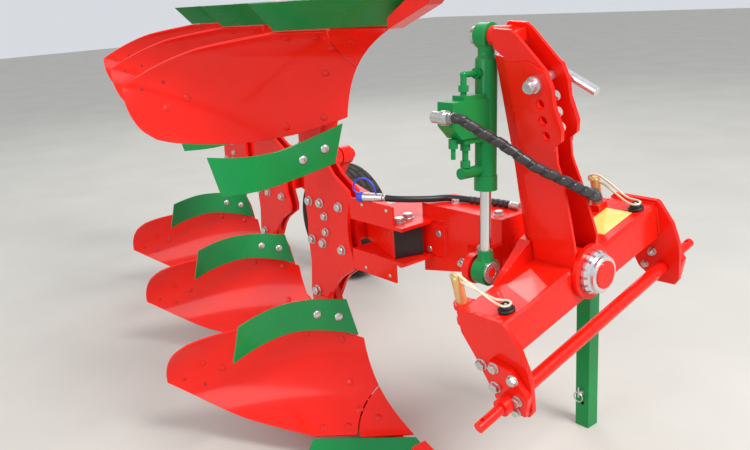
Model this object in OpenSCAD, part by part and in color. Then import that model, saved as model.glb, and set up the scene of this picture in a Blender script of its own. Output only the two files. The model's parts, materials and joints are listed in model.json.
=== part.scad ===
// Reversible moldboard plough for a farm tractor, mounted type.
// X is the direction of travel, Y is to the left, Z is up, in millimetres.
// The ground is Z = 0, and every lower body has a mirrored upper body.

/* [Frame] */
// Height of the turning axis over the ground
axle_h = 742; // [735:1:760]
// Spacing of the plough bodies along the main beam
pitch = 850; // [830:5:900]
// Angle of the main beam to the direction of travel
beam_angle = 19.6; // [18:0.1:21]
// Outer width of the square main beam
beam_w = 100; // [90:1:104]
// Wall of the main beam
beam_wall = 8; // [6:1:12]
// Radius of the turning shaft
shaft_r = 38; // [34:1:40]

/* [Plough bodies] */
// Thickness of the moldboard
board_t = 8; // [6:1:12]
// Thickness of the share
share_t = 11; // [8:1:14]
// How far the shin of the moldboard runs forward at its foot
shin_reach = 254; // [245:1:262]
// Height over which that reach fades out
shin_fade = 106; // [100:1:112]
// Sweep of the moldboard back per unit of width
sweep = 1.08; // [1.04:0.01:1.12]
// Change of the sweep with height, which twists the moldboard
twist = 0.20; // [0.16:0.01:0.24]
// Thickness of the trashboard
trash_t = 6; // [5:1:8]
// Thickness of each leg plate
leg_t = 12; // [10:1:14]
// Length of the landside
landside_len = 540; // [480:10:600]

/* [Headstock] */
// Roll of the headstock against the frame, as parked
head_roll = 13.4; // [10:0.1:16]
// Half width of the crossbeam
cross_y = 340; // [330:1:345]
// Thickness of the headstock side plates
cheek_t = 15; // [12:1:16]
// Radius of the lower link pins
link_r = 14.2; // [14:0.1:14.4]
// Distance of a pin shoulder from the middle
shoulder_y = 412.5; // [412:0.5:413.5]
// Outer end of a lower link pin
link_end_y = 497; // [490:1:505]
// Radius of the spreader tube
spreader_r = 19.5; // [18:0.5:22]
// Gap between the tower plates, for the ball of the top link
tower_gap = 52; // [51:1:56]
// Height of the top link pin over the axis
top_pin_z = 537; // [530:1:545]
// Radius of the top link pin
top_pin_r = 12.7; // [12.5:0.1:12.7]

/* [Turnover cylinder] */
// Radius of the barrel
barrel_r = 29; // [27:1:30]
// Radius of the rod
rod_r = 15; // [13:1:17]
// Radius of the hose with its spiral guard
hose_r = 14; // [12:0.5:15]
// Length from the top eye to the end of the barrel
barrel_len = 400; // [392:1:401]

/* [Depth wheel] */
// Radius of the tyre
tyre_r = 310; // [300:1:312]
// Width of the tyre
tyre_w = 180; // [160:5:185]
// Radius of the rim
rim_r = 178; // [160:1:185]

/* [Parking stand] */
// Outer width of the stand tube
stand_w = 52; // [46:1:56]
// Length of the stand tube
stand_len = 830; // [800:5:860]

/* [Hidden] */

red = "#e01e12";
green = "#00853f";
zinc = "#b9b7a8";
chrome = "#c8ccd0";
black = "#1b1b1b";

body_n = 3;
clear = 0.05;
step_x = pitch * cos(beam_angle);
step_y = pitch * sin(beam_angle);
beam_x = -480;
beam_y = -134;
// Plane in which the landsides of the first body run
land_y = -180;
// End of the beam behind the last leg
beam_len = (body_n - 1) * pitch + 580;
leg_x = -840;
leg_foot_z = 467;
leg_gap = 25;

// Depth wheel: pivot of its arm and centre of the wheel at rest
wheel_px = -1750;
wheel_x = -2050;
wheel_y = 800;
wheel_drop = axle_h - tyre_r;

// Parking stand
stand_x = -182;
stand_y = 387;
sleeve_z = axle_h - 102;

// Front edge of the headstock's side plates
cheek_x = 150;

// Ends of the whole plough, from which its middle is set
x_front = cheek_x;
x_back = -1158 - (body_n - 1) * step_x;
y_right = land_y - 525;
y_left = wheel_y + tyre_w / 2;
mid_x = (x_front + x_back) / 2;
mid_y = (y_right + y_left) / 2;

// Y of the left (s = 1) or right (s = -1) face of the main beam at x
function beam_side(x, s) = beam_y + s * (beam_w / 2 + clear) / cos(beam_angle) - (x - beam_x) * tan(beam_angle);

module own() translate([-mid_x, -mid_y, 0]) children();

// Lifts to the turning axis
module axis_up() translate([0, 0, axle_h]) children();

// Places the headstock's own shapes
module head() own() axis_up() rotate([head_roll, 0, 0]) children();

// Repeats for each body, in that body's own frame
module each_body() for (k = [0 : body_n - 1])
    own() translate([-k * step_x, land_y + k * step_y, 0]) children();

// The same, mirrored in the plane of the turning axis
module each_upper() translate([0, 0, 2 * axle_h]) mirror([0, 0, 1]) each_body() children();

// Extrudes an X-Z outline along Y, from y to y + t
module side(pts, y, t) translate([0, y + t, 0]) rotate([90, 0, 0])
    linear_extrude(t) polygon(pts);

// Cylinder along Y from y to y + h
module ycyl(x, y, z, r, h) translate([x, y + h, z]) rotate([90, 0, 0]) cylinder(r = r, h = h, $fn = 48);

// Cylinder along X from x to x + h
module xcyl(x, y, z, r, h) translate([x, y, z]) rotate([0, 90, 0]) cylinder(r = r, h = h, $fn = 48);

// Surfaces of a plough body, where a is the distance to the right of the landside
function shin_x(z) = -705 + shin_reach * exp(-(z - 91) / shin_fade);
function bow(z) = (z - 226) / 250;
function sweep_at(z) = sweep + twist * bow(z) - 0.148 * bow(z) * bow(z);
function curl_at(z) = (0.064 + 0.434 * bow(z)) / 400;
function board_x(a, z) = shin_x(z) - a * sweep_at(z) + a * a * curl_at(z);
function board_p(a, z) = [board_x(a, z), -a, z];
function unit(v) = v / norm(v);
function board_n(a, z) = unit([1, (board_x(a + 1, z) - board_x(a - 1, z)) / 2,
    -(board_x(a, z + 1) - board_x(a, z - 1)) / 2]);
function trash_x(a, z) = -697 - 0.42 * a + 0.00069 * a * a + (z - 455) / 120 * (0.0933 * a - 20);
function trash_p(a, z) = [trash_x(a, z), -a, z];
function trash_n(a, z) = unit([1, (trash_x(a + 1, z) - trash_x(a - 1, z)) / 2,
    -(trash_x(a, z + 1) - trash_x(a, z - 1)) / 2]);

// Point at share s of the way along a polyline
function lens(p) = [for (i = [0 : len(p) - 2]) norm(p[i + 1] - p[i])];
function sum(v, n) = n <= 0 ? 0 : v[n - 1] + sum(v, n - 1);
function walk(p, L, d, i) = i >= len(L) - 1 || d <= L[i]
    ? p[i] + (p[i + 1] - p[i]) * min(1, d / L[i]) : walk(p, L, d - L[i], i + 1);
function along(p, s) = walk(p, lens(p), s * sum(lens(p), len(p) - 1), 0);

// Patch between four edges: low and high run outwards, near and far run upwards
function patch(low, high, near, far, s, t) =
    (1 - t) * along(low, s) + t * along(high, s) + (1 - s) * along(near, t) + s * along(far, t)
    - (1 - s) * (1 - t) * low[0] - s * (1 - t) * low[len(low) - 1]
    - (1 - s) * t * high[0] - s * t * high[len(high) - 1];

// Closed sheet between a front and a back grid of points
module sheet(front, back) {
    n = len(front);
    m = len(front[0]);
    pts = concat([for (r = front) each r], [for (r = back) each r]);
    off = n * m;
    function id(i, j) = i * m + j;
    rim = concat([for (j = [0 : m - 2]) id(0, j)], [for (i = [0 : n - 2]) id(i, m - 1)],
        [for (j = [m - 1 : -1 : 1]) id(n - 1, j)], [for (i = [n - 1 : -1 : 1]) id(i, 0)]);
    faces = concat(
        [for (i = [0 : n - 2]) for (j = [0 : m - 2]) [id(i, j), id(i + 1, j), id(i + 1, j + 1)]],
        [for (i = [0 : n - 2]) for (j = [0 : m - 2]) [id(i, j), id(i + 1, j + 1), id(i, j + 1)]],
        [for (i = [0 : n - 2]) for (j = [0 : m - 2])
            [off + id(i, j), off + id(i + 1, j + 1), off + id(i + 1, j)]],
        [for (i = [0 : n - 2]) for (j = [0 : m - 2])
            [off + id(i, j), off + id(i, j + 1), off + id(i + 1, j + 1)]],
        [for (k = [0 : len(rim) - 1]) let (p = rim[k], q = rim[(k + 1) % len(rim)])
            [p, q, off + q]],
        [for (k = [0 : len(rim) - 1]) let (p = rim[k], q = rim[(k + 1) % len(rim)])
            [p, off + q, off + p]]);
    polyhedron(points = pts, faces = faces, convexity = 6);
}

// Outline of the moldboard as [width, height] pairs
board_low = [[0, 208], [60, 157], [132, 92], [236, 88], [286, 99], [345, 114], [378, 125],
    [435, 160], [522, 226]];
board_high = [[0, 363], [50, 388], [105, 410], [211, 427], [307, 424], [399, 410], [444, 400],
    [480, 386]];
board_near = [[0, 208], [0, 363]];
board_far = [[522, 226], [525, 272], [523, 318], [511, 358], [480, 386]];
// The shin piece fills the lower front corner
shin_low = [[0, 92], [128, 88]];
shin_high = [[0, 206], [58, 155], [128, 93]];
// Outline of the trashboard
trash_low = [[15, 380], [100, 412], [208, 440], [290, 443], [390, 432], [464, 415]];
trash_high = [[35, 508], [91, 522], [161, 537], [273, 551], [365, 546], [440, 536]];

module board_sheet(low, high, near, far, nu, nv, t) {
    g = [for (i = [0 : nu]) [for (j = [0 : nv]) patch(low, high, near, far, i / nu, j / nv)]];
    front = [for (r = g) [for (p = r) board_p(p[0], p[1])]];
    back = [for (r = g) [for (p = r) board_p(p[0], p[1]) - t * board_n(p[0], p[1])]];
    sheet(front, back);
}

module moldboard() board_sheet(board_low, board_high, board_near, board_far, 16, 9, board_t);

module shin() board_sheet(shin_low, shin_high, [[0, 92], [0, 206]], [[128, 88], [128, 93]], 5, 4, board_t);

// Corners of the share: inner top, outer top, outer tip, inner tip
share_c = [[-443, 0, 85], [-686, -242, 81], [-640, -345, 0.5], [-297, 0, 0.5]];

module share() {
    function at(s, t) = (1 - t) * ((1 - s) * share_c[3] + s * share_c[2])
        + t * ((1 - s) * share_c[0] + s * share_c[1]);
    top_n = unit(cross(share_c[2] - share_c[3], share_c[0] - share_c[3]));
    g = [for (i = [0 : 4]) [for (j = [0 : 2]) at(i / 4, j / 2)]];
    // The back face stops at the ground, so the cutting edge is sharp
    back = [for (r = g) [for (p = r) let (q = p + share_t * top_n * -sign(top_n[2]))
        [q[0], q[1], max(0, q[2])]]];
    sheet(g, back);
}

module trashboard() {
    near = [trash_low[0], trash_high[0]];
    far = [trash_low[5], trash_high[5]];
    g = [for (i = [0 : 12]) [for (j = [0 : 3]) patch(trash_low, trash_high, near, far, i / 12, j / 3)]];
    front = [for (r = g) [for (p = r) trash_p(p[0], p[1])]];
    back = [for (r = g) [for (p = r) trash_p(p[0], p[1]) - trash_t * trash_n(p[0], p[1])]];
    sheet(front, back);
}

// Chisel point: a bar that lies on the front of the share
module point_bar() side([[-400, 60.9], [-400, 92], [-245, 32],
    [-213, 6], [-213, 0], [-290, 0], [-297, 1]], -60, 60);

module landside() difference() {
    side([[-500, 8], [-500 - landside_len, 0], [-500 - landside_len, 118], [-560, 118]], -12, 12);
    for (x = [-600, -700, -900]) ycyl(x, -13, 70, 7, 14);
}

// Mounting pad on the back of the moldboard, reaching in to the frog
module pad(a, z, t, r, deep) {
    n = board_n(a, z);
    p = board_p(a, z) - (t + 0.2) * n;
    translate(p) rotate([0, acos(-n[2]), atan2(-n[1], -n[0])]) cylinder(r = r, h = deep, $fn = 32);
}

module frog() {
    edge = [for (z = [91, 120, 150, 190, 226, 270, 320, 370]) [shin_x(z) - 66, z]];
    union() {
        side(concat([[-430, 20], [-478, 60]], edge, [[-790, 420], [-960, 420], [-960, 20]]), -40, 28);
        side([[-640, 124], [-760, 360], [-790, 420], [-960, 420], [-960, 124]], -14, 8);
        side([[-760, 340], [-790, 420], [-830, leg_foot_z - 2], [-960, leg_foot_z - 2], [-960, 340]],
            -7, leg_gap + leg_t / 2 + 7);
        side([[-800, 400], [-830, leg_foot_z - 2], [-850, leg_foot_z + 93],
            [-955, leg_foot_z + 93], [-960, 400]], leg_t / 2, leg_gap);
        pad(71, 226, board_t, 15, 60);
        pad(84, 152, board_t, 15, 70);
        pad(57, 129, board_t, 12, 44);
        pad(60, 330, board_t, 15, 50);
    }
}

// Stay of the trashboard: an angled flat bar on the frog, with two spacers
module trash_stay() {
    translate([0, 0, 440]) linear_extrude(52) polygon([[-766, -170], [-733, -45], [-745, -45],
        [-757, -88], [-828, -7], [-850, -7], [-768, -107], [-778, -168]]);
    for (h = [[142, 480], [70, 455]]) {
        n = trash_n(h[0], h[1]);
        translate(trash_p(h[0], h[1]) - (trash_t + 0.2) * n)
            rotate([0, acos(-n[2]), atan2(-n[1], -n[0])]) cylinder(r = 11, h = 18, $fn = 32);
    }
}

module trash_stays_lower() color(red) each_body() trash_stay();

module trash_stays_upper() color(red) each_upper() trash_stay();

module frogs_lower() color(red) each_body() frog();

module frogs_upper() color(red) each_upper() frog();

module moldboards_lower() color(red) each_body() moldboard();

module moldboards_upper() color(red) each_upper() moldboard();

module shins_lower() color(red) each_body() shin();

module shins_upper() color(red) each_upper() shin();

module shares_lower() color(green) each_body() share();

module shares_upper() color(green) each_upper() share();

module points_lower() color(red) each_body() point_bar();

module points_upper() color(red) each_upper() point_bar();

module landsides_lower() color(red) each_body() landside();

module landsides_upper() color(red) each_upper() landside();

module trashboards_lower() color(green) each_body() trashboard();

module trashboards_upper() color(green) each_upper() trashboard();

// Leg: a pair of plates, the same above and below the axis
leg_front = [[-722, 0], [-718, 50], [-700, 105], [-706, 135], [-780, 180], [-812, 215]];
leg_back = [[-966, 0], [-950, 160], [-955, 60], [-950, 0]];
leg_holes = [[-930, 70], [-866, 72], [-759, 75], [-845, 28],
    [-926, axle_h - leg_foot_z - 13]];

module leg_outline() {
    reach = axle_h - leg_foot_z;
    up = concat(leg_front, [[-846, reach], [-966, reach], [-950, 160], [-955, 60], [-950, 0]]);
    down = [for (i = [len(up) - 2 : -1 : 1]) [up[i][0], -up[i][1]]];
    polygon(concat(up, down));
}

module leg_plates() color(red) each_body() axis_up() for (y = [-leg_t / 2, leg_gap + leg_t / 2])
    translate([0, y + leg_t, 0]) rotate([90, 0, 0]) difference() {
        linear_extrude(leg_t) leg_outline();
        for (h = leg_holes) for (s = [-1, 1])
            translate([h[0], s * h[1], -1]) cylinder(r = 9, h = leg_t + 2, $fn = 32);
    }

// Block that carries a leg on the side of the main beam
module leg_blocks() color(red) each_body() axis_up() {
    y0 = leg_gap + 1.5 * leg_t;
    translate([0, 0, -beam_w / 2]) linear_extrude(beam_w)
        polygon([[-735, y0], [-735, beam_side(-735, -1) - land_y],
            [-945, beam_side(-945, -1) - land_y], [-945, y0]]);
    // Spacer between the two plates
    translate([-945, leg_t / 2, -40]) cube([190, leg_gap, 80]);
}

// Bolt heads on the near plate, and nuts where the beam's block leaves room behind the far one
module leg_bolts() color(zinc) each_body() axis_up() for (h = leg_holes) for (s = [-1, 1]) {
    ycyl(h[0], -leg_t / 2 - 10, s * h[1], 13, 9.9);
    if (h[1] > beam_w / 2 + 13) ycyl(h[0], leg_gap + 1.5 * leg_t + 0.1, s * h[1], 13, 11);
}

module main_beam() color(red) own() axis_up() translate([beam_x, beam_y, 0]) rotate([0, 0, 180 - beam_angle])
    translate([0, -beam_w / 2, -beam_w / 2]) difference() {
        cube([beam_len, beam_w, beam_w]);
        translate([-1, beam_wall, beam_wall])
            cube([beam_len + 2, beam_w - 2 * beam_wall, beam_w - 2 * beam_wall]);
    }

module beam_caps() color(black) own() axis_up() translate([beam_x, beam_y, 0]) rotate([0, 0, 180 - beam_angle]) {
    in_w = beam_w - 2 * beam_wall;
    for (x = [[-4, -4], [beam_len, beam_len - 16]]) {
        translate([x[0], -beam_w / 2 + 2, -beam_w / 2 + 2]) cube([4, beam_w - 4, beam_w - 4]);
        translate([x[1], -in_w / 2, -in_w / 2]) cube([20, in_w, in_w]);
    }
}

// Box between the headstock bearing and the main beam
box_x0 = -168;
box_x1 = -491;
box_r = -60;
box_l = 80;
box_top = 108;

module turning_frame() color(red) own() axis_up() difference() {
    union() {
        side([[box_x0, -57], [box_x0, box_top], [box_x1, box_top], [box_x1, -119]], box_r, box_l - box_r);
        // Doublers where the beam's clamp meets the box
        side([[-385, -beam_w / 2], [-385, beam_w / 2], [box_x1, beam_w / 2], [box_x1, -beam_w / 2]],
            box_r - 8, box_l - box_r + 16);
    }
    side([[box_x0 + 1, -45], [box_x0 + 1, box_top - 12], [box_x1 + 12, box_top - 12], [box_x1 + 12, -105]],
        box_r + 12, box_l - box_r - 24);
}

module front_plate() color(red) own() axis_up() difference() {
    translate([box_x0, -75, -75]) cube([20, 75 + box_l, 190]);
    xcyl(box_x0 - 1, 0, 0, shaft_r + clear, 22);
}

module clamp_plates() color(red) own() axis_up() for (s = [-1, 1]) {
    z0 = s > 0 ? beam_w / 2 : -beam_w / 2 - 12;
    translate([0, 0, z0]) linear_extrude(12) polygon([[-440, -195], [-440, box_r], [box_x1, box_r],
        [box_x1, 100], [-640, 100], [-690, 60], [-690, -195]]);
    translate([-690, -195, s > 0 ? beam_w / 2 + 12 : -beam_w / 2 - 73]) cube([212, 8, 61]);
}

module clamp_bolts() color(zinc) own() axis_up() for (s = [-1, 1]) for (p = [[-500, -150], [-515, -100]])
    translate([p[0], p[1], s > 0 ? beam_w / 2 + 12 : -beam_w / 2 - 28]) cylinder(r = 14, h = 16, $fn = 32);

module turning_shaft() color(red) own() axis_up() xcyl(box_x0 - 60, 0, 0, shaft_r, 146 - box_x0 + 60);

// Ring nut with slots for its spanner
nut_r = 60;
module shaft_nut() color(chrome) own() axis_up() translate([106, 0, 0]) rotate([0, 90, 0]) difference() {
    rotate_extrude($fn = 96) polygon([[shaft_r + clear, 0], [nut_r, 0], [nut_r, 11], [nut_r - 8, 24],
        [shaft_r + clear, 24]]);
    for (i = [0 : 15]) rotate([0, 0, 22.5 * i]) translate([nut_r - 5, -4, -1]) cube([10, 8, 30]);
}

// Arm that holds the foot of the turnover cylinder
eye_y = -175;
eye_z = -2;
eye_r = 38;
cyl_x = -122;
eye_w = 38;
arm_x = -172;
arm_y = -75;

module cylinder_arm() color(red) own() axis_up() union() {
    side([[arm_x, -40], [arm_x, 40], [arm_x + 20, 40], [arm_x + 20, -40]], eye_y, arm_y - eye_y);
    xcyl(arm_x, eye_y, eye_z, 42, 22);
    translate([0, 0, -8]) linear_extrude(16)
        polygon([[arm_x, arm_y - 75], [arm_x, box_r], [-300, box_r]]);
}

module stand_sleeve() color(red) own() difference() {
    union() {
        translate([stand_x - stand_w / 2 - 8, stand_y - stand_w / 2 - 8, sleeve_z])
            cube([stand_w + 16, stand_w + 16, 120]);
        translate([stand_x - 30, box_l, sleeve_z + 30]) cube([60, stand_y - stand_w / 2 - 4 - box_l, 60]);
    }
    translate([stand_x - stand_w / 2 - 0.4, stand_y - stand_w / 2 - 0.4, sleeve_z - 40])
        cube([stand_w + 0.8, stand_w + 0.8, 200]);
}

module stand_leg() color(green) own() difference() {
    translate([stand_x - stand_w / 2, stand_y - stand_w / 2, 0]) cube([stand_w, stand_w, stand_len]);
    translate([stand_x - stand_w / 2 + 5, stand_y - stand_w / 2 + 5, -1])
        cube([stand_w - 10, stand_w - 10, stand_len + 2]);
    for (z = [90, 130]) ycyl(stand_x, stand_y - stand_w, z, 8, 2 * stand_w);
}

module stand_pin() color(zinc) own() ycyl(stand_x, stand_y - stand_w / 2 - 14, 130, 7.9, stand_w + 28);

// Headstock: back and top of its crossbeam, and radius of the bearing
cross_x = -62;
cross_top = 35;
hub_r = 55;

module crossbeam() color(red) head() difference() {
    union() {
        side([[cross_x, -70], [cross_x, 27], [cross_x + 8, cross_top], [82, cross_top], [90, 27], [90, -70]],
            -cross_y, 2 * cross_y);
        translate([-74, 240, cross_top - 9]) cube([40, 40, 28]);
    }
    side([[cross_x + 10, -60], [cross_x + 10, 25], [80, 25], [80, -60]], -cross_y - 1, 2 * cross_y + 2);
    xcyl(-80, 0, 0, hub_r + clear, 200);
    // Bore of the block that clamps the hose
    translate([-56, 258, cross_top + 5]) cylinder(r = 9, h = 30, $fn = 32);
}

module hub() color(red) head() difference() {
    union() {
        xcyl(-87, 0, 0, hub_r, 192);
        xcyl(90, 0, 0, 76, 15);
    }
    xcyl(-100, 0, 0, shaft_r + clear, 300);
}

cheek = [[-62, 35], [-50, 46], [92, 46], [100, 40], [135, -22], [cheek_x - 1, -84], [cheek_x, -120], [139, -212], [124, -232],
    [58, -234], [8, -192], [-28, -100], [-62, -30]];
link_x = 90;
link_z = -175;

module cheek_plates() color(red) head() for (s = [-1, 1])
    side(cheek, s > 0 ? cross_y : -cross_y - cheek_t, cheek_t);

module link_brackets() color(red) head() for (s = [-1, 1])
    side([[40, -70], [110, -80], [150, -150], [130, -215], [60, -215], [35, -190]],
        s > 0 ? cross_y + cheek_t : -cross_y - cheek_t - 20, 20);

module link_pins() color(red) head() for (s = [-1, 1]) {
    y0 = cross_y + cheek_t + 20;
    ycyl(link_x, s > 0 ? y0 : -shoulder_y, link_z, 24, shoulder_y - y0);
    difference() {
        ycyl(link_x, s > 0 ? shoulder_y : -link_end_y, link_z, link_r, link_end_y - shoulder_y);
        translate([link_x, s * (link_end_y - 18), link_z - 30]) cylinder(r = 6, h = 60, $fn = 32);
    }
}

module spreader_tube() color(red) head() difference() {
    ycyl(link_x, -cross_y, link_z, spreader_r, 2 * cross_y);
    ycyl(link_x, -cross_y - 1, link_z, spreader_r - 5, 2 * cross_y + 2);
}

// Tower: bent plates that stand apart at the foot, with a folded back between them
tower_in = tower_gap / 2;
tower_t = 8;
tower_fold = 300;
tower_flare = 22;
tower_back = -86;
tower_side = -45;
tower_outline = [[tower_side, 0], [tower_side, 600], [-74, 622], [-74, 664], [-64, 672], [-10, 668],
    [6, 655], [79, 566], [90, 524], [88, 481], [101, 419], [94, 388], [72, 372], [68, 322], [72, tower_fold],
    [80, 256], [89, 173], [97, 84], [90, 64], [90, 0]];
tower_pad = [[-38, 360], [-38, 588], [30, 592], [79, 566], [90, 524], [88, 481], [101, 419], [94, 388],
    [72, 372], [70, 360]];
top_pin_x = 44;

module tower_plates() color(red) head() for (s = [0, 1]) mirror([0, s, 0]) difference() {
    union() {
        // Side plate: its outline, folded out below tower_fold
        intersection() {
            side(tower_outline, 0, 120);
            translate([-150, 0, 0]) rotate([90, 0, 90]) linear_extrude(300)
                polygon([[tower_in + tower_flare, cross_top], [tower_in + tower_t + tower_flare, cross_top],
                    [tower_in + tower_t, tower_fold], [tower_in + tower_t, 700], [tower_in, 700],
                    [tower_in, tower_fold]]);
        }
        side(tower_pad, tower_in + tower_t - 1, 6);
    }
    for (h = [[top_pin_x, top_pin_z, top_pin_r + clear], [48, 484, 13], [48, 441, 13], [50, 400, 13]])
        ycyl(h[0], -100, h[1], h[2], 200);
}

// Folded back of the tower at half width h, as outer and inner corners
function fold_back(h) = [[tower_side, -h], [tower_back, -h * 0.58], [tower_back, h * 0.58], [tower_side, h],
    [tower_side, h - tower_t], [tower_back + tower_t, h * 0.58 - 5], [tower_back + tower_t, 5 - h * 0.58],
    [tower_side, tower_t - h]];

// Flat panel of the fold that widens from outline low at height z0 to outline high at z1
module panel(low, high, z0, z1) hull() {
    translate([0, 0, z0]) linear_extrude(0.1) polygon(low);
    translate([0, 0, z1 - 0.1]) linear_extrude(0.1) polygon(high);
}

module tower_web() color(red) head() {
    half = tower_in + tower_t;
    difference() {
        union() {
            translate([0, 0, tower_fold]) linear_extrude(600 - tower_fold) polygon(fold_back(half));
            for (c = [[0, 1, 6, 7], [1, 2, 5, 6], [2, 3, 4, 5]])
                panel([for (k = c) fold_back(half + tower_flare)[k]], [for (k = c) fold_back(half)[k]],
                    cross_top, tower_fold);
        }
        xcyl(-100, 0, 0, hub_r + clear, 200);
    }
    // Ribs from the back of the tower down to the crossbeam
    for (s = [0, 1]) mirror([0, s, 0]) difference() {
        intersection() {
            translate([-100, 0, 0]) rotate([90, 0, 90]) linear_extrude(60)
                polygon([[30, cross_top], [215, cross_top], [215, cross_top + 2], [57, 90], [30, 90]]);
            translate([0, 0, cross_top]) linear_extrude(60)
                polygon([[tower_back, 34], [tower_side, 57], [-46, 215], [-58, 215]]);
        }
        xcyl(-100, 0, 0, hub_r + clear, 200);
    }
}

// Boss at the top of the tower, which carries the upper pin of the turnover cylinder
top_eye = [0, 644];
boss_x = cyl_x + max(eye_w / 2 + 3, barrel_r - 6.5);
module tower_head() color(red) head() {
    xcyl(boss_x, top_eye[0], top_eye[1], 25, -35 - boss_x);
    translate([-70, -tower_in, 628]) cube([60, 2 * tower_in, 30]);
}

module cylinder_pin() color(zinc) head() {
    xcyl(cyl_x - eye_w / 2 - 24, top_eye[0], top_eye[1], 16, boss_x - 0.1 - cyl_x + eye_w / 2 + 24);
    xcyl(cyl_x - eye_w / 2 - 20, top_eye[0], top_eye[1], 24, 16);
}

module top_link_pin() color(zinc) head() {
    out = tower_in + tower_t + 5.2;
    ycyl(top_pin_x, -out - 34, top_pin_z, top_pin_r, 2 * out + 68);
    ycyl(top_pin_x, -out - 10, top_pin_z, 21, 10);
    ycyl(top_pin_x, -out - 26, top_pin_z, 17, 16);
    ycyl(top_pin_x, out, top_pin_z, 18, 10);
    translate([top_pin_x, out + 22, top_pin_z]) rotate([0, 118, 0]) cylinder(r = top_pin_r - 0.5, h = 112, $fn = 48);
}

lug_r = 24;
lock_x = cross_x - lug_r;
lock_y = 308;
lock_r = 15;
module lock_pins() color(zinc) head() for (s = [-1, 1])
    translate([lock_x, s * lock_y, -45]) difference() {
        union() {
            cylinder(r = lock_r, h = 150, $fn = 48);
            translate([0, 0, 150]) cylinder(r1 = lock_r, r2 = lock_r - 3, h = 6, $fn = 48);
        }
        // Cross hole of the wire bail
        translate([-40, 0, 138]) rotate([0, 90, 0]) cylinder(r = 3.5, h = 80, $fn = 24);
    }

// Lugs on the back of the crossbeam, which guide the lock pins
module lock_lugs() color(red) head() for (s = [-1, 1]) for (z = [14, -34]) difference() {
    union() {
        translate([lock_x, s * lock_y, z]) cylinder(r = lug_r, h = 16, $fn = 48);
        translate([lock_x, s * lock_y - lug_r, z]) cube([lug_r, 2 * lug_r, 16]);
    }
    translate([lock_x, s * lock_y, z - 1]) cylinder(r = lock_r + clear, h = 18, $fn = 48);
}

module rubber_stops() color(black) head() for (s = [-1, 1])
    translate([55, s * 292, cross_top]) {
        cylinder(r = 22, h = 4, $fn = 48);
        cylinder(r = 18, h = 14, $fn = 48);
        translate([0, 0, 14]) cylinder(r1 = 18, r2 = 13, h = 5, $fn = 48);
    }

// Turnover cylinder, in the headstock's own coordinates
foot_h = [eye_y * cos(head_roll) + eye_z * sin(head_roll), -eye_y * sin(head_roll) + eye_z * cos(head_roll)];
cyl_v = foot_h - top_eye;
cyl_len = norm(cyl_v);
cyl_a = atan2(cyl_v[0], -cyl_v[1]);

// Local frame of the cylinder: Z runs down from the top eye to the foot
module cyl() head() translate([cyl_x, top_eye[0], top_eye[1]]) rotate([180 + cyl_a, 0, 0]) children();

module cylinder_barrel() color(green) cyl() difference() {
    union() {
        translate([0, 0, 58]) cylinder(r = barrel_r, h = barrel_len - 70, $fn = 64);
        translate([0, 0, 48]) cylinder(r1 = barrel_r - 7, r2 = barrel_r, h = 10, $fn = 64);
        cylinder(r = barrel_r - 7, h = 60, $fn = 48);
        // Gland at the rod's end
        translate([0, 0, barrel_len - 40]) cylinder(r = barrel_r + 2, h = 40, $fn = 64);
        rotate([0, 90, 0]) translate([0, 0, -eye_w / 2]) cylinder(r = 33, h = eye_w, $fn = 64);
    }
    rotate([0, 90, 0]) translate([0, 0, -eye_w]) cylinder(r = 16 + clear, h = 2 * eye_w, $fn = 48);
    translate([0, 0, 80]) cylinder(r = rod_r + clear, h = barrel_len, $fn = 48);
}

// Valve block on the side of the barrel
valve_y = 150;
valve_z = [155, 250];
module valve_block() color(green) cyl() difference() {
    union() {
        translate([-27, 20, valve_z[0]]) cube([54, valve_y - 20, valve_z[1] - valve_z[0]]);
        translate([-20, 24, valve_z[1]]) cube([40, 76, 16]);
        translate([-20, 20, valve_z[0] - 12]) cube([40, 84, 12]);
    }
    cylinder(r = barrel_r + clear, h = barrel_len, $fn = 64);
    // Bevelled outer corner
    translate([-30, valve_y, valve_z[1] - 34]) rotate([45, 0, 0]) cube([60, 60, 60]);
}

// Pipes, ports and the adjusting screw around the valve block
port_z = barrel_len - 56;
module valve_fittings() color(green) cyl() {
    difference() {
        union() {
            // Upper pipe: out of the block, over an elbow and into the barrel
            translate([0, 84, 92]) cylinder(r = 8, h = valve_z[0] - 12 - 92, $fn = 32);
            translate([0, 84, 118]) cylinder(r = 13, h = 16, $fn = 32);
            translate([0, 84, 92]) sphere(r = 9, $fn = 32);
            translate([0, 84, 92]) rotate([90, 0, 0]) cylinder(r = 8, h = 60, $fn = 32);
            translate([0, 42, 92]) rotate([90, 0, 0]) cylinder(r = 14, h = 18, $fn = 32);
            // Lower pipe and its port near the end of the barrel
            translate([0, 78, valve_z[1] + 16]) cylinder(r = 8, h = port_z - valve_z[1] - 16, $fn = 32);
            for (z = [valve_z[1] + 16, port_z - 33]) translate([0, 78, z]) cylinder(r = 13, h = 18, $fn = 32);
            translate([0, 96, port_z]) rotate([90, 0, 0]) cylinder(r = 15, h = 72, $fn = 48);
        }
        cylinder(r = barrel_r + clear, h = barrel_len, $fn = 64);
    }
    translate([0, 122, valve_z[1]]) {
        cylinder(r = 12, h = 24, $fn = 32);
        cylinder(r = 6, h = 52, $fn = 32);
    }
}

// Elbow between the valve block and the hose
elbow = [valve_y + 22, 190];
module hose_elbow() color(zinc) cyl() {
    translate([0, elbow[0], elbow[1]]) {
        translate([0, -21.8, 0]) rotate([-90, 0, 0]) cylinder(r = 15, h = 24, $fn = 32);
        translate([-17, 0, 0]) rotate([0, 90, 0]) cylinder(r = 15, h = hose_from[0] - cyl_x + 16, $fn = 48);
        translate([14, 0, 0]) rotate([0, 90, 0]) cylinder(r = 19, h = 14, $fn = 48);
    }
}

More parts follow.
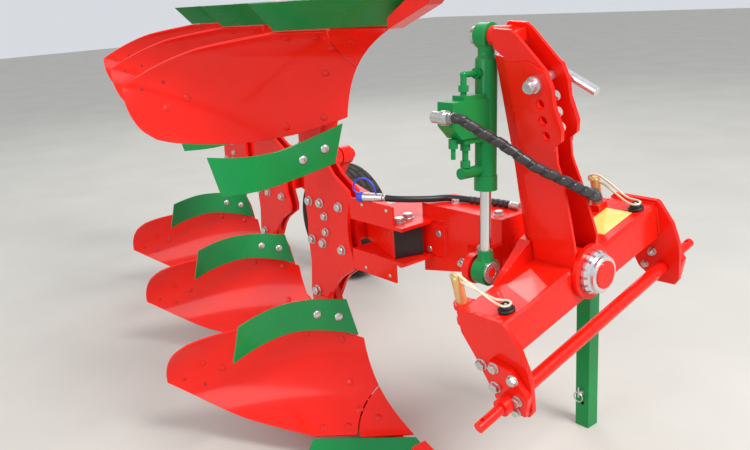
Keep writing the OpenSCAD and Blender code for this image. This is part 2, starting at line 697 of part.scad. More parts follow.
module cylinder_rod() color(chrome) cyl() translate([0, 0, barrel_len - 150])
    cylinder(r = rod_r, h = cyl_len - barrel_len + 150 - eye_r, $fn = 48);

module rod_eye() color(green) cyl() difference() {
    union() {
        translate([0, 0, cyl_len]) rotate([0, 90, 0]) translate([0, 0, -eye_w / 2])
            cylinder(r = eye_r, h = eye_w, $fn = 64);
        translate([0, 0, cyl_len - eye_r - 22]) cylinder(r1 = 20, r2 = 23, h = 40, $fn = 48);
    }
    translate([0, 0, cyl_len - eye_r - 40]) cylinder(r = rod_r + clear, h = 40.2, $fn = 48);
    translate([0, 0, cyl_len]) rotate([0, 90, 0]) translate([0, 0, -eye_w])
        cylinder(r = bush_r + clear, h = 2 * eye_w, $fn = 48);
}

bush_r = 30;
module rod_bush() color(chrome) cyl() translate([0, 0, cyl_len]) rotate([0, 90, 0]) difference() {
    translate([0, 0, -eye_w / 2 - 1]) cylinder(r = bush_r, h = eye_w + 8, $fn = 64);
    translate([0, 0, -eye_w]) cylinder(r = 14, h = 2 * eye_w, $fn = 48);
}

// Hose points, in the headstock's own coordinates: from the valve over the front of the tower to a clamp
hose_from = [-84, -206, 505];
hose_route = [[-68, -206, 504], [-48, -200, 494], [-30, -184, 469], [10, -140, 410], [60, -107, 350], [100, -52, 291],
    [112, 30, 215], [72, 100, 164], [12, 178, 126], [-38, 236, 100], [-54, 258, 78], [-56, 259, 55.6]];

// Point at share t of a smooth curve through b and c
function smooth(a, b, c, d, t) = 0.5 * ((2 * b) + (c - a) * t + (2 * a - 5 * b + 4 * c - d) * t * t
    + (3 * b - a - 3 * c + d) * t * t * t);
function curve(p, m) = let (n = len(p)) concat([for (i = [0 : n - 2]) for (k = [0 : m - 1])
    smooth(p[max(0, i - 1)], p[i], p[i + 1], p[min(n - 1, i + 2)], k / m)], [p[n - 1]]);

// Tube of radius r with ten sides along the points of a curve
module tube(p, r) {
    n = len(p);
    m = 10;
    pts = [for (i = [0 : n - 1]) let (
        d = unit(p[min(n - 1, i + 1)] - p[max(0, i - 1)]),
        u = unit(cross(d, abs(d[2]) > 0.9 ? [1, 0, 0] : [0, 0, 1])), v = cross(d, u))
        for (k = [0 : m - 1]) p[i] + r * (cos(360 * k / m) * u + sin(360 * k / m) * v)];
    polyhedron(points = pts, convexity = 6, faces = concat([[for (k = [m - 1 : -1 : 0]) k]],
        [[for (k = [0 : m - 1]) (n - 1) * m + k]],
        [for (i = [0 : n - 2]) for (k = [0 : m - 1]) each [[i * m + k, i * m + (k + 1) % m, (i + 1) * m + k],
            [i * m + (k + 1) % m, (i + 1) * m + (k + 1) % m, (i + 1) * m + k]]]));
}

module guarded_hose() color(black) head() tube(curve(concat([hose_from], hose_route), 2), hose_r);

// Hose on top of the turning frame, in coordinates from the axis, and the couplers on its end
top_hose_r = 11;
top_hose = [[-548, -168, 137], [-518, -153, 135], [-488, -110, 129], [-462, -48, 121], [-434, -4, 119.5],
    [-394, 14, 119.5], [-326, 28, 119.5], [-270, 46, 119.5], [-215, 50, 119.5]];
module frame_hose() color(black) own() axis_up() tube(curve(top_hose, 2), top_hose_r);

module hose_couplers() color(zinc) own() axis_up() {
    // Quick coupler, which lies on the upper flange of the clamp
    translate(top_hose[0]) rotate([0, 0, 180 + atan2(46, 90)]) rotate([0, 90, 0]) {
        translate([0, 0, 1.8]) cylinder(r = 13, h = 22.4, $fn = 32);
        translate([0, 0, 24]) cylinder(r = 14, h = 50, $fn = 48);
        translate([0, 0, 74]) cylinder(r = 12, h = 12, $fn = 48);
    }
    // Port on the frame
    translate([-214.3, 50, 119.5]) rotate([0, 90, 0]) cylinder(r = 11, h = 26, $fn = 32);
}

// Depth wheel
module wheel_bracket() color(red) own() axis_up() {
    translate([0, 0, -60]) linear_extrude(120)
        polygon([[wheel_px - 80, beam_side(wheel_px - 80, 1)], [wheel_px + 80, beam_side(wheel_px + 80, 1)],
            [wheel_px + 80, 440], [wheel_px - 80, 440]]);
    ycyl(wheel_px, 440, 0, 42, 120);
    ycyl(wheel_px, 560, 0, 25, 90);
}

arm_len = norm([wheel_x - wheel_px, wheel_drop]);
arm_a = atan2(wheel_drop, wheel_px - wheel_x);

module wheel_arm() color(red) own() axis_up() difference() {
    union() {
        ycyl(wheel_px, 565, 0, 45, 60);
        translate([wheel_px, 580, 0]) rotate([0, 180 - arm_a, 0]) translate([0, 0, -35]) cube([arm_len, 40, 70]);
        ycyl(wheel_x, 580, -wheel_drop, 45, 60);
        ycyl(wheel_x, 640, -wheel_drop, 20, 200);
    }
    ycyl(wheel_px, 500, 0, 25 + clear, 200);
}

module wheel_hub() color(red) own() axis_up() difference() {
    union() {
        ycyl(wheel_x, 745, -wheel_drop, 45, 90);
        ycyl(wheel_x, 795, -wheel_drop, 100, 10);
    }
    ycyl(wheel_x, 700, -wheel_drop, 20 + clear, 200);
}

module wheel_rim() color(red) own() axis_up() translate([wheel_x, wheel_y, -wheel_drop]) rotate([90, 0, 0])
    rotate_extrude($fn = 96) polygon([[100.2, -5], [100.2, 5], [160, 20], [rim_r - 10, tyre_w / 2 - 20],
        [rim_r, tyre_w / 2 - 20], [rim_r, -tyre_w / 2 + 20], [rim_r - 10, -tyre_w / 2 + 20], [150, -8]]);

module tyre() color(black) own() axis_up() translate([wheel_x, wheel_y, -wheel_drop]) rotate([90, 0, 0])
    rotate_extrude($fn = 96) polygon([[rim_r + 0.2, -tyre_w / 2 + 18], [rim_r + 0.2, tyre_w / 2 - 18],
        [rim_r + 30, tyre_w / 2 - 4], [tyre_r - 50, tyre_w / 2], [tyre_r - 12, tyre_w / 2 - 14],
        [tyre_r, tyre_w / 2 - 45], [tyre_r, -tyre_w / 2 + 45], [tyre_r - 12, -tyre_w / 2 + 14],
        [tyre_r - 50, -tyre_w / 2], [rim_r + 30, -tyre_w / 2 + 4]]);

turning_frame();
front_plate();
clamp_plates();
clamp_bolts();
turning_shaft();
shaft_nut();
main_beam();
beam_caps();
leg_plates();
leg_blocks();
leg_bolts();
frogs_lower();
frogs_upper();
moldboards_lower();
moldboards_upper();
shins_lower();
shins_upper();
shares_lower();
shares_upper();
points_lower();
points_upper();
landsides_lower();
landsides_upper();
trashboards_lower();
trashboards_upper();
trash_stays_lower();
trash_stays_upper();
cylinder_arm();
stand_sleeve();
wheel_bracket();
crossbeam();
hub();
cheek_plates();
link_brackets();
link_pins();
spreader_tube();
tower_plates();
tower_web();
tower_head();
cylinder_pin();
top_link_pin();
lock_lugs();
lock_pins();
rubber_stops();
guarded_hose();
frame_hose();
hose_couplers();
cylinder_barrel();
valve_block();
valve_fittings();
hose_elbow();
cylinder_rod();
rod_eye();
rod_bush();
wheel_arm();
wheel_hub();
wheel_rim();
tyre();
stand_leg();
stand_pin();
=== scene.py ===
import json

import bmesh
import bpy
import numpy as np
from bpy.props import FloatProperty, FloatVectorProperty, PointerProperty
from mathutils import Matrix, Vector


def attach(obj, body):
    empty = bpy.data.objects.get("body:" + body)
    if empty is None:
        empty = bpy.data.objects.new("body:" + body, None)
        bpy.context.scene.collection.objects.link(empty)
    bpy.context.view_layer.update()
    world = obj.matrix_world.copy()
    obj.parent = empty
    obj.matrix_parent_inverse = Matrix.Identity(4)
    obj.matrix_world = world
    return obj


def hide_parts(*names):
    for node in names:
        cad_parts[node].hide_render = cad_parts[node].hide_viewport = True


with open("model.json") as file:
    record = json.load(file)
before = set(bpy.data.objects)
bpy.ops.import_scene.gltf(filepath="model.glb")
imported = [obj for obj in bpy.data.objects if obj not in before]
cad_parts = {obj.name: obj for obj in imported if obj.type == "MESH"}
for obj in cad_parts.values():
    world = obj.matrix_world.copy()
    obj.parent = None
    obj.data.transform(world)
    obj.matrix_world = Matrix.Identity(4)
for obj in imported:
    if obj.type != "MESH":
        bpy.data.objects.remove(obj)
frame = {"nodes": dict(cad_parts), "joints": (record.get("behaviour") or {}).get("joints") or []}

bl_info = {
    "name": "Reversible moldboard plough",
    "version": (1, 0, 0),
    "blender": (4, 5, 0),
    "location": "3D View > Sidebar > Plough",
    "description": "Finishes, bolts, hoses and curved boards for a reversible moldboard plough",
    "category": "Object",
}

# Sizes are in millimetres in the plough's own frame: X forward along the turning shaft, Y left, Z up from
# the ground, with the shaft at Y = 0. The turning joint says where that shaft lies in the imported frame.
TURN = next(j for j in frame["joints"] if j["name"] == "turn")
AXIS_H = 742.0
SHIFT = np.array(TURN["pos_m"]) - np.array([0.0, 0.0, AXIS_H / 1000])
ROLL = np.radians(13.4)
PITCH = 850.0
STEP = PITCH * np.array([-np.cos(np.radians(19.6)), np.sin(np.radians(19.6)), 0.0])
LAND_Y = -180.0
TOP_EYE = np.array([-122.0, 0.0, 644.0])
CYL_TURN = np.radians(180 - 15.7466)
BODIES = 3


def place(points):
    """Plough coordinates in mm to the frame in metres: divide by 1000 and add the shift."""
    return np.asarray(points, float) / 1000 + SHIFT


def headstock(points):
    """Headstock coordinates, from the shaft's middle, turned about X by the parked roll and lifted to the shaft."""
    p = np.asarray(points, float)
    c, s = np.cos(ROLL), np.sin(ROLL)
    return np.stack([p[..., 0], p[..., 1] * c - p[..., 2] * s, p[..., 1] * s + p[..., 2] * c + AXIS_H], -1)


def on_cylinder(points):
    """Turnover cylinder's coordinates, Z down from its top eye, turned about X and moved to the headstock's."""
    p = np.asarray(points, float)
    c, s = np.cos(CYL_TURN), np.sin(CYL_TURN)
    return headstock(np.stack([p[..., 0], p[..., 1] * c - p[..., 2] * s, p[..., 1] * s + p[..., 2] * c], -1)
                     + TOP_EYE)


def from_axis(points):
    """Coordinates whose Z counts from the turning shaft."""
    return np.asarray(points, float) + np.array([0.0, 0.0, AXIS_H])


def in_body(points, k, upper):
    """A plough body's own coordinates moved back k spacings, and mirrored in the shaft's plane if upper."""
    p = np.array(points, float) + k * STEP + np.array([0.0, LAND_Y, 0.0])
    if upper:
        p[..., 2] = 2 * AXIS_H - p[..., 2]
    return p




# ---------------------------------------------------------------- settings

def linear(code):
    """An sRGB hex colour as linear light: c/12.92 below 0.04045, else ((c + 0.055)/1.055)^2.4."""
    c = np.array([int(code[i:i + 2], 16) for i in (1, 3, 5)]) / 255
    return np.where(c <= 0.04045, c / 12.92, ((c + 0.055) / 1.055) ** 2.4).tolist()


def colour(name, description, code):
    """A colour setting with its default in hex."""
    return FloatVectorProperty(name=name, description=description, default=linear(code), size=3, min=0, max=1,
                               subtype="COLOR")


class PloughColours(bpy.types.PropertyGroup):
    """Colours of the plough's finishes"""
    red: colour("Red enamel", "Frames, legs and boards", "#EE1B0B")
    green: colour("Green enamel", "Trashboards, shares, cylinder and stand", "#00853F")
    zinc: colour("Zinc", "Bolts, pins and couplers", "#CACBC8")
    guard: colour("Hose guard", "Spiral guard of the hoses", "#322F30")
    cap: colour("Dust caps", "Caps of the hose couplers", "#3B44C8")


class PloughSizes(bpy.types.PropertyGroup):
    """Sizes of the plough's small parts"""
    edge: FloatProperty(name="Plate edge", description="Rounding of the steel's edges", default=0.0022,
                        min=0.0003, max=0.004, unit="LENGTH")
    weld: FloatProperty(name="Weld", description="Leg length of the weld beads", default=0.006, min=0.002,
                        max=0.01, unit="LENGTH")
    guard_pitch: FloatProperty(name="Guard pitch", description="Pitch of the spiral guard on the hoses",
                               default=0.039, min=0.015, max=0.06, unit="LENGTH")
    wire: FloatProperty(name="Bail wire", description="Thickness of the lock pins' wire bails", default=0.0065,
                        min=0.003, max=0.008, unit="LENGTH")
    tread: FloatProperty(name="Tread depth", description="Depth of the grooves in the tyre", default=0.007,
                         min=0.003, max=0.012, unit="LENGTH")


def mm(size):
    """A size setting in millimetres."""
    return getattr(bpy.context.scene.plough_sizes, size) * 1000


# ---------------------------------------------------------------- materials

FINISH = {}


def add(tree, kind, inputs=None, **settings):
    """Adds one shader node, sets its properties, and sets or links its inputs."""
    n = tree.nodes.new(kind)
    for key, value in settings.items():
        setattr(n, key, value)
    for key, value in (inputs or {}).items():
        if isinstance(value, bpy.types.NodeSocket):
            tree.links.new(value, n.inputs[key])
        else:
            n.inputs[key].default_value = value
    return n


def finish_of(key, name, base, rough, metal=0.0, coat=0.0, vary=0.04, blotch_mm=180.0, grain_mm=3.0,
              grain=0.02, dust=None, spec=0.5):
    """A painted, plated or moulded finish, kept under key.

    Colour varies slowly over blotch_mm, roughness follows the same noise, a fine bump of grain_mm stands for
    orange peel, zinc spangle or mould grain, and dust, a colour and its share, settles on faces that look up."""
    m = bpy.data.materials.new(name)
    m.use_nodes = True
    t = m.node_tree
    t.nodes.clear()
    at = add(t, "ShaderNodeTexCoord").outputs["Object"]
    blotch = add(t, "ShaderNodeTexNoise", {"Vector": at, "Scale": 1000 / blotch_mm, "Detail": 4.0}).outputs["Fac"]
    fine = add(t, "ShaderNodeTexNoise", {"Vector": at, "Scale": 1000 / grain_mm, "Detail": 2.0}).outputs["Fac"]
    tone = add(t, "ShaderNodeMapRange", {0: blotch, 1: 0.3, 2: 0.7, 3: 1 - vary, 4: 1 + vary}).outputs[0]
    paint = add(t, "ShaderNodeVectorMath", {0: base, "Scale": tone}, operation="SCALE").outputs[0]
    shine = add(t, "ShaderNodeMapRange", {0: blotch, 1: 0.3, 2: 0.7, 3: rough * 0.85, 4: rough * 1.2}).outputs[0]
    if dust:
        up = add(t, "ShaderNodeSeparateXYZ", {0: add(t, "ShaderNodeNewGeometry").outputs["Normal"]}).outputs[2]
        film = add(t, "ShaderNodeMapRange", {0: up, 1: 0.1, 2: 1.0, 3: 0.0, 4: dust[1]}).outputs[0]
        film = add(t, "ShaderNodeMath", {0: film, 1: blotch}, operation="MULTIPLY").outputs[0]
        paint = add(t, "ShaderNodeMix", {0: film, 6: paint, 7: (*linear(dust[0]), 1)}, data_type="RGBA").outputs[2]
        shine = add(t, "ShaderNodeMath", {0: shine, 1: film}, operation="ADD").outputs[0]
    bump = add(t, "ShaderNodeBump", {"Height": fine, "Strength": grain, "Distance": 0.001}).outputs[0]
    s = add(t, "ShaderNodeBsdfPrincipled", {"Base Color": paint, "Roughness": shine, "Normal": bump,
                                            "Metallic": metal, "Coat Weight": coat, "Coat Roughness": 0.08,
                                            "Specular IOR Level": spec})
    add(t, "ShaderNodeOutputMaterial", {0: s.outputs[0]})
    FINISH[key] = m


def make_finishes(tint):
    """The plough's finishes, from its colour settings."""
    red, green, zinc = tuple(tint.red), tuple(tint.green), tuple(tint.zinc)
    # Sprayed alkyd enamel on steel plate: fresh gloss with fine orange peel
    finish_of("red", "Red_alkyd_enamel", red, 0.28, coat=0.22, vary=0.05, grain_mm=2.5, grain=0.06, spec=0.2)
    # The same enamel on the polished boards, where the coat lies smoother and mirrors the yard
    finish_of("board", "Red_enamel_on_polished_board", red, 0.2, coat=0.3, vary=0.04, grain_mm=4.0, grain=0.03,
              spec=0.2)
    # The red darkened to 0.45 as painted shade: the shade in the seam round a flush plow bolt, and in the drilled
    # centre of the shaft
    finish_of("painted_seam_shade", "Red_enamel_darkened_as_seam_shade", [c * 0.45 for c in red], 0.4, vary=0.05, grain=0.03)
    finish_of("green", "Green_alkyd_enamel", green, 0.32, coat=0.2, vary=0.06, grain_mm=2.5, grain=0.06,
              dust=("#9DB59A", 0.08), spec=0.25)
    finish_of("green_board", "Green_enamel_on_board", green, 0.25, coat=0.3, vary=0.05, grain_mm=4.0,
              grain=0.03, spec=0.28)
    # Zinc plated fasteners: dull bright metal with a faint spangle
    finish_of("zinc", "Zinc_plated_steel", zinc, 0.30, metal=0.85, vary=0.10, blotch_mm=14.0, grain_mm=1.0,
              grain=0.08)
    # Yellow passivated zinc on the lock pins
    finish_of("yellow_zinc", "Yellow_passivated_zinc", linear("#E2BE80"), 0.34, metal=0.5, vary=0.12,
              blotch_mm=16.0, grain_mm=1.0, grain=0.06)
    # Spring wire of the bails, plated pale yellow
    finish_of("wire", "Pale_plated_spring_wire", linear("#E6DCC0"), 0.34, metal=0.35, vary=0.06, blotch_mm=20.0,
              grain_mm=1.0, grain=0.03)
    # Turned steel of the ring nut, the rod bush and the handle: brighter than the bolts
    finish_of("bright", "Turned_zinc_plated_steel", linear("#D9DADB"), 0.24, metal=0.85, vary=0.06,
              blotch_mm=24.0, grain_mm=0.9, grain=0.05)
    # Hard chrome, ground and polished
    finish_of("chrome", "Hard_chrome", linear("#D6D8D8"), 0.14, metal=1.0, vary=0.03, blotch_mm=60.0,
              grain_mm=0.8, grain=0.01)
    # Moulded polyethylene cap
    finish_of("plastic", "Black_polyethylene", linear("#1D1B1B"), 0.45, vary=0.10, blotch_mm=30.0, grain_mm=1.2,
              grain=0.10)
    # Smooth hose cover of nitrile rubber
    finish_of("hose", "Black_nitrile_hose", linear("#1B1A1B"), 0.4, vary=0.10, blotch_mm=40.0, grain_mm=1.0,
              grain=0.04)
    # Extruded guard wound round the hose: hard, with a dull shine
    finish_of("guard", "Black_spiral_guard", tuple(tint.guard), 0.33, vary=0.12, blotch_mm=40.0, grain_mm=1.5,
              grain=0.05)
    # Soft moulded vinyl of the dust caps
    finish_of("cap", "Blue_vinyl", tuple(tint.cap), 0.42, vary=0.08, blotch_mm=20.0, grain_mm=1.5, grain=0.04)
    # Vulcanised rubber with dust of the yard
    finish_of("rubber", "Black_tyre_rubber", linear("#232221"), 0.72, vary=0.16, blotch_mm=60.0, grain_mm=1.5,
              grain=0.25, dust=("#8B8478", 0.25))
    # Blank self-adhesive film
    finish_of("pale_patch", "Blank_pale_film", linear("#D9625A"), 0.25, coat=0.2, vary=0.03, grain_mm=5.0,
              grain=0.02)
    finish_of("yellow_patch", "Blank_yellow_film", linear("#E8DA70"), 0.28, coat=0.2, vary=0.03, grain_mm=5.0,
              grain=0.02)


def dress(obj, finish, body, *nodes):
    """Gives a piece its finish, body and slot, and hides the nodes it stands for."""
    obj.data.materials.clear()
    obj.data.materials.append(FINISH[finish])
    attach(obj, body)
    if nodes:
        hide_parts(*nodes)
    return obj


# ---------------------------------------------------------------- mesh helpers

def link(name, mesh):
    """A new object at the origin, in the scene."""
    obj = bpy.data.objects.new(name, mesh)
    bpy.context.scene.collection.objects.link(obj)
    return obj


def grid_faces(n, m, wrap_n=False, wrap_m=False):
    """Quads between the rows and columns of an n by m grid of points."""
    i = np.arange(n if wrap_n else n - 1)[:, None]
    j = np.arange(m if wrap_m else m - 1)[None, :]
    a = i * m + j
    b = ((i + 1) % n) * m + j
    c = ((i + 1) % n) * m + (j + 1) % m
    d = i * m + (j + 1) % m
    return np.stack([a + 0 * c, b + 0 * c, c, d + 0 * c], -1).reshape(-1, 4)


def joined(parts):
    """Points and faces of several parts as one."""
    start, points, faces = 0, [], []
    for p, f in parts:
        points.append(np.asarray(p, float).reshape(-1, 3))
        faces += [[start + i for i in face] for face in f]
        start += len(points[-1])
    return np.concatenate(points), faces


def piece(name, parts, finish, body, *nodes, angle=35.0):
    """One object from parts in plough coordinates, with faces outwards and edges under angle smooth."""
    points, faces = joined(parts)
    me = bpy.data.meshes.new(name)
    me.from_pydata(place(points).tolist(), [], faces)
    b = bmesh.new()
    b.from_mesh(me)
    bmesh.ops.recalc_face_normals(b, faces=b.faces)
    b.to_mesh(me)
    b.free()
    me.polygons.foreach_set("use_smooth", np.ones(len(me.polygons), bool))
    me.set_sharp_from_angle(angle=np.radians(angle))
    return dress(link(name, me), finish, body, *nodes)


def sheet_mesh(front, back):
    """Closed sheet: the front grid, the back grid turned over, and a strip of quads round the rim."""
    n, m = front.shape[:2]
    points = np.concatenate([front.reshape(-1, 3), back.reshape(-1, 3)])
    f = grid_faces(n, m)
    idx = np.arange(n * m).reshape(n, m)
    rim = np.concatenate([idx[0, :-1], idx[:-1, -1], idx[-1, :0:-1], idx[:0:-1, 0]])
    nxt = np.roll(rim, -1)
    strip = np.stack([rim, nxt, nxt + n * m, rim + n * m], -1)
    return points, np.concatenate([f, f[:, ::-1] + n * m, strip])


def turned(profile, n=28):
    """A turned part: radii and heights of the profile carried round Z, closed by a flat face at each end."""
    p = np.asarray(profile, float)
    t = np.arange(n) * 2 * np.pi / n
    grid = np.stack([p[:, :1] * np.cos(t), p[:, :1] * np.sin(t), np.repeat(p[:, 1:], n, 1)], -1)
    last = (len(p) - 1) * n
    return grid.reshape(-1, 3), [*grid_faces(len(p), n, wrap_m=True).tolist(), list(range(n)),
                                 list(range(last, last + n))]


def hexagon(across, z, height):
    """A hexagon across its flats, from z up: twelve points a ring, with the corners of its top turned away."""
    t = np.arange(12) * np.pi / 6
    r = np.where(np.arange(12) % 2, across / 2, across / np.sqrt(3))
    rings = [(r, 0.0), (r, np.where(np.arange(12) % 2, 0.94, 0.80) * height), (np.full(12, across * 0.46), height)]
    grid = np.stack([np.stack([q * np.cos(t), q * np.sin(t), z + h + 0 * t], -1) for q, h in rings])
    return grid.reshape(-1, 3), [*grid_faces(3, 12, wrap_m=True).tolist(), list(range(12)), list(range(24, 36))]


def thread(radius, z0, z1, pitch=2.6):
    """A threaded end: rings whose radius falls and rises once a pitch, with a bevel at the tip."""
    z = np.arange(z0, z1 - pitch, pitch / 2)
    r = np.where(np.arange(len(z)) % 2, radius - 0.8, radius)
    return turned([*np.stack([r, z], -1), [radius - 0.4, z1 - 1.5], [radius - 2, z1]], 18)


def fastener(kind, size):
    """A fastener that stands on Z = 0: bolt, nut, dome or flush, for a hole of about two thirds its size."""
    if kind == "bolt":
        return [turned([[size * 0.66, -0.4], [size * 0.66, 2.2], [size * 0.62, 2.8]], 24),
                hexagon(size, 2.6, size * 0.42)]
    if kind == "nut":
        return [turned([[size * 0.66, -0.4], [size * 0.66, 2.2], [size * 0.62, 2.8]], 24),
                hexagon(size, 2.6, size * 0.5), thread(size * 0.33, size * 0.4, size * 0.5 + 9)]
    if kind == "dome":
        a = np.linspace(0.06, 1.35, 6)[::-1]
        return [turned(np.stack([size * 0.56 * np.sin(a), size * 0.26 * np.cos(a)], -1), 24)]
    return [turned([[size * 0.5, -0.4], [size * 0.5, 0.35], [size * 0.46, 0.75]], 24)]


def standing(parts, at, along, spin=0.0):
    """Parts that stood on Z = 0 moved to a point, with Z laid along a direction and turned by spin."""
    z = np.asarray(along, float) / np.linalg.norm(along)
    x = np.cross([0.0, 0.0, 1.0] if abs(z[2]) < 0.9 else [1.0, 0.0, 0.0], z)
    x /= np.linalg.norm(x)
    y = np.cross(z, x)
    x, y = np.cos(spin) * x + np.sin(spin) * y, np.cos(spin) * y - np.sin(spin) * x
    return [(np.asarray(p) @ np.stack([x, y, z]) + np.asarray(at, float), f) for p, f in parts]


def fasteners(places, to_plough):
    """Fasteners at places, each a point, direction, kind and size, in coordinates that to_plough moves."""
    out = []
    for i, (at, along, kind, size) in enumerate(places):
        for p, f in standing(fastener(kind, size), at, along, spin=0.37 + 1.9 * i):
            out.append((to_plough(p), f))
    return out


def spline(points, per=12):
    """Catmull-Rom curve: each span blends its two ends and the slopes through their neighbours."""
    p = np.asarray(points, float)
    p = np.concatenate([2 * p[:1] - p[1:2], p, 2 * p[-1:] - p[-2:-1]])
    t = np.linspace(0, 1, per, endpoint=False)[None, :, None]
    a, b, c, d = (p[i:len(p) - 3 + i, None] for i in range(4))
    q = 0.5 * (2 * b + (c - a) * t + (2 * a - 5 * b + 4 * c - d) * t ** 2 + (3 * b - a - 3 * c + d) * t ** 3)
    return np.concatenate([q.reshape(-1, p.shape[1]), p[-2:-1]])


def even(path, step):
    """A path's points moved to even steps along its length, and the length at each."""
    d = np.concatenate([[0], np.cumsum(np.linalg.norm(np.diff(path, axis=0), axis=1))])
    s = np.linspace(0, d[-1], max(3, int(d[-1] / step)))
    return np.stack([np.interp(s, d, path[:, k]) for k in range(3)], -1), s


def tube(path, radius, n=12, ref=(0.0, 1.0, 0.0)):
    """A tube: path + r (u cos t + v sin t), where u and v stand square on the path and r may be a grid."""
    d = np.gradient(path, axis=0)
    d /= np.linalg.norm(d, axis=1, keepdims=True)
    u = np.cross(d, ref)
    u /= np.linalg.norm(u, axis=1, keepdims=True)
    v = np.cross(d, u)
    t = np.arange(n) * 2 * np.pi / n
    r = np.broadcast_to(np.asarray(radius, float), (len(path), n))[..., None]
    grid = path[:, None] + r * (u[:, None] * np.cos(t)[:, None] + v[:, None] * np.sin(t)[:, None])
    last = (len(path) - 1) * n
    return grid.reshape(-1, 3), [*grid_faces(len(path), n, wrap_m=True).tolist(), list(range(n)),
                                 list(range(last, last + n))]


def guard(points, inner, outer, pitch, share=(0.0, 1.0)):
    """A spiral guard on a hose: the radius steps between inner and outer once a pitch, as s/pitch + t/2pi
    runs from 0 to 1, on the share of the length that the guard covers."""
    path, s = even(spline(points, 24), 1.7)
    on = (s >= share[0] * s[-1]) & (s <= share[1] * s[-1])
    path, s = path[on], s[on]
    t = np.arange(28) * 2 * np.pi / 28
    turn = (s[:, None] / pitch + t[None, :] / (2 * np.pi)) % 1
    band = np.clip((0.34 - np.abs(turn - 0.5)) / 0.04, 0, 1)
    return tube(path, inner + (outer - inner) * band, 28)


def weld(points, ref=(0.0, 0.0, 1.0)):
    """A weld bead: a tube along the corner, whose radius ripples every 3.5 mm and shrinks at its ends."""
    path, s = even(np.asarray(points, float), 1.2)
    r = mm("weld") * 0.62 * (1 + 0.10 * np.sin(s * 2 * np.pi / 3.5)) * np.clip(np.minimum(s, s[-1] - s) / 4, 0.5, 1)
    return tube(path, r[:, None], 8, ref)


def softened(node, finish, body, width=1.0):
    """A copy of a CAD node with merged corners, flat faces joined, and rounded edges of width times the setting."""
    me = frame["nodes"][node].data.copy()
    b = bmesh.new()
    b.from_mesh(me)
    bmesh.ops.remove_doubles(b, verts=b.verts, dist=2e-5)
    bmesh.ops.dissolve_limit(b, angle_limit=np.radians(0.5), verts=b.verts, edges=b.edges)
    b.to_mesh(me)
    b.free()
    me.name = "Plough_" + node
    me.polygons.foreach_set("use_smooth", np.ones(len(me.polygons), bool))
    me.set_sharp_from_angle(angle=np.radians(28))
    obj = link("Plough_" + node, me)
    mod = obj.modifiers.new("Rounded_edges", "BEVEL")
    mod.width = width * mm("edge") / 1000
    mod.segments = 2
    mod.limit_method = "ANGLE"
    mod.angle_limit = np.radians(28)
    mod.harden_normals = True
    mod.use_clamp_overlap = True
    return dress(obj, finish, body, node)


# ---------------------------------------------------------------- plough bodies

def shin_x(z):
    """Shin curve: it runs forward at the foot and fades with height as exp(-(z - 91)/106)."""
    return -705 + 254 * np.exp(-(z - 91) / 106)


def board_x(a, z):
    """Moldboard surface: shin minus a sweep that changes with height, plus a curl that grows as width squared."""
    q = (z - 226) / 250
    return shin_x(z) - a * (1.08 + 0.20 * q - 0.148 * q * q) + a * a * (0.064 + 0.434 * q) / 400


def trash_x(a, z):
    """Trashboard surface: a shallow curve in plan, leaning with height."""
    return -697 - 0.42 * a + 0.00069 * a * a + (z - 455) / 120 * (0.0933 * a - 20)


def along(line, s):
    """Points at shares s of the way along a polyline, by length."""
    line = np.asarray(line, float)
    d = np.concatenate([[0], np.cumsum(np.linalg.norm(np.diff(line, axis=0), axis=1))])
    return np.stack([np.interp(s * d[-1], d, line[:, k]) for k in (0, 1)], -1)


def rounded(line, times=2):
    """Cuts a polyline's corners at a quarter and three quarters, and keeps its ends."""
    line = np.asarray(line, float)
    for _ in range(times):
        a, b = line[:-1], line[1:]
        mid = np.stack([a * 0.75 + b * 0.25, a * 0.25 + b * 0.75], 1).reshape(-1, 2)
        line = np.concatenate([line[:1], mid[1:-1], line[-1:]])
    return line


def patch(low, high, near, far, n, m):
    """Coons patch between four edges: the two ruled surfaces added, less the bilinear one of the corners."""
    s, t = np.linspace(0, 1, n)[:, None, None], np.linspace(0, 1, m)[None, :, None]
    lo, hi = along(low, s[:, 0, 0])[:, None], along(high, s[:, 0, 0])[:, None]
    ne, fa = along(near, t[0, :, 0])[None], along(far, t[0, :, 0])[None]
    return ((1 - t) * lo + t * hi + (1 - s) * ne + s * fa - (1 - s) * (1 - t) * lo[0] - s * (1 - t) * lo[-1]
            - (1 - s) * t * hi[0] - s * t * hi[-1])


def thick(surface, grid, t):
    """Front points of surface x(a, z) over the grid, and back points t mm behind along the normal."""
    a, z = grid[..., 0], grid[..., 1]
    xa = (surface(a + 1, z) - surface(a - 1, z)) / 2
    xz = (surface(a, z + 1) - surface(a, z - 1)) / 2
    n = np.stack([np.ones_like(a), xa, -xz], -1)
    n /= np.linalg.norm(n, axis=-1, keepdims=True)
    front = np.stack([surface(a, z), -a, z], -1)
    return front, front - t * n


BOARD = {"low": rounded([[0, 208], [60, 157], [132, 92]], 0), "high": rounded(
    [[0, 363], [50, 388], [105, 410], [211, 427], [307, 424], [399, 410], [444, 400], [480, 386]], 2)}
BOARD["low"] = np.concatenate([[[0, 208], [60, 157], [132, 92]], rounded(
    [[236, 88], [286, 99], [345, 114], [378, 125], [435, 160], [522, 226]], 2)])
BOARD["near"] = np.array([[0, 208], [0, 363]], float)
BOARD["far"] = rounded([[522, 226], [525, 272], [523, 318], [511, 358], [480, 386]], 2)
TRASH_LOW = rounded([[15, 380], [100, 412], [208, 440], [290, 443], [390, 432], [464, 415]], 2)
TRASH_HIGH = rounded([[35, 508], [91, 522], [161, 537], [273, 551], [365, 546], [440, 536]], 2)


